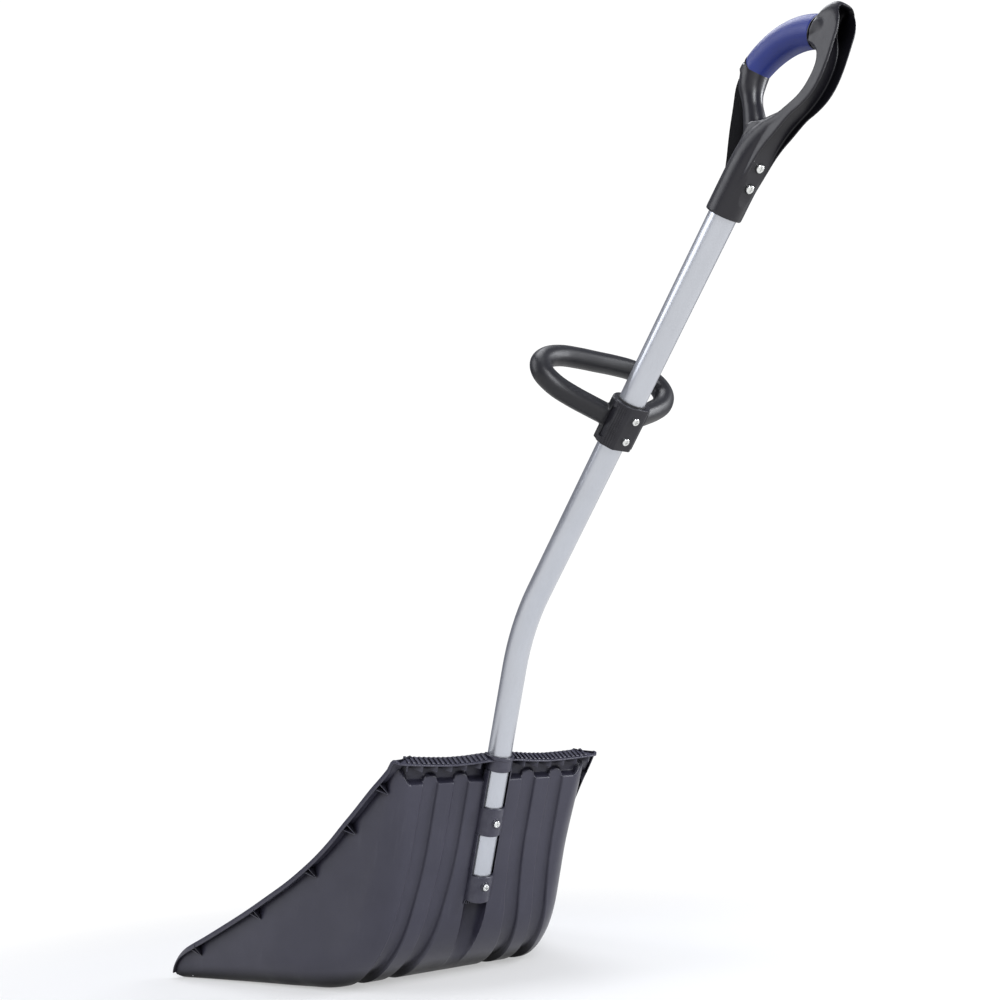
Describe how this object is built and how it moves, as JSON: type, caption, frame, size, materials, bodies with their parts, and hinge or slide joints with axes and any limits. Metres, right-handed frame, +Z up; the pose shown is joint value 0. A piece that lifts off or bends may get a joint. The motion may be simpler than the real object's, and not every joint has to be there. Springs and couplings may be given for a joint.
{
  "type": "snow shovel",
  "caption": "Snow shovel with a deep flared plastic scoop, bent aluminium shaft, closed rear handle with soft grip and a clamp-on oval assist ring for back-saving lifting.",
  "frame": {"origin": "on the resting face under the scoop, in the symmetry plane", "axes": "+Z up from the floor, +Y backwards towards the user and up the shaft, +X across the scoop"},
  "size_m": [0.5952, 1.147, 0.9953],
  "materials": {
    "scoop_plastic": "satin moulded polypropylene",
    "handle_plastic": "fine satin texture",
    "ring_plastic": "matte soft-feel moulding",
    "clamp_plastic": "satin",
    "plug_plastic": "satin",
    "grip_rubber": "soft matte",
    "liner_rubber": "matte",
    "shaft_aluminium": "satin drawn",
    "screw_steel": "zinc plated",
    "edge_metal": "galvanised",
    "rivet_metal": "satin"
  },
  "bodies": {
    "shovel": {"scoop_shell": "scoop_plastic", "blade_edge_strip": "edge_metal", "strip_rivets": "rivet_metal", "shaft_tube": "shaft_aluminium", "tube_end_plug": "plug_plastic", "scoop_screws": "screw_steel", "dhandle_body": "handle_plastic", "grip_sleeve": "grip_rubber", "handle_screws": "screw_steel"},
    "assist_handle": {"ring_handle": "ring_plastic", "clamp_cap": "clamp_plastic", "clamp_liner": "liner_rubber", "clamp_screws": "screw_steel"}
  },
  "joints": [
    {"name": "clamp_slide", "type": "slide", "parent": "shovel", "child": "assist_handle", "axis": [0, 0.7421, 0.6703], "range_m": [-0.21, 0.22]}
  ]
}
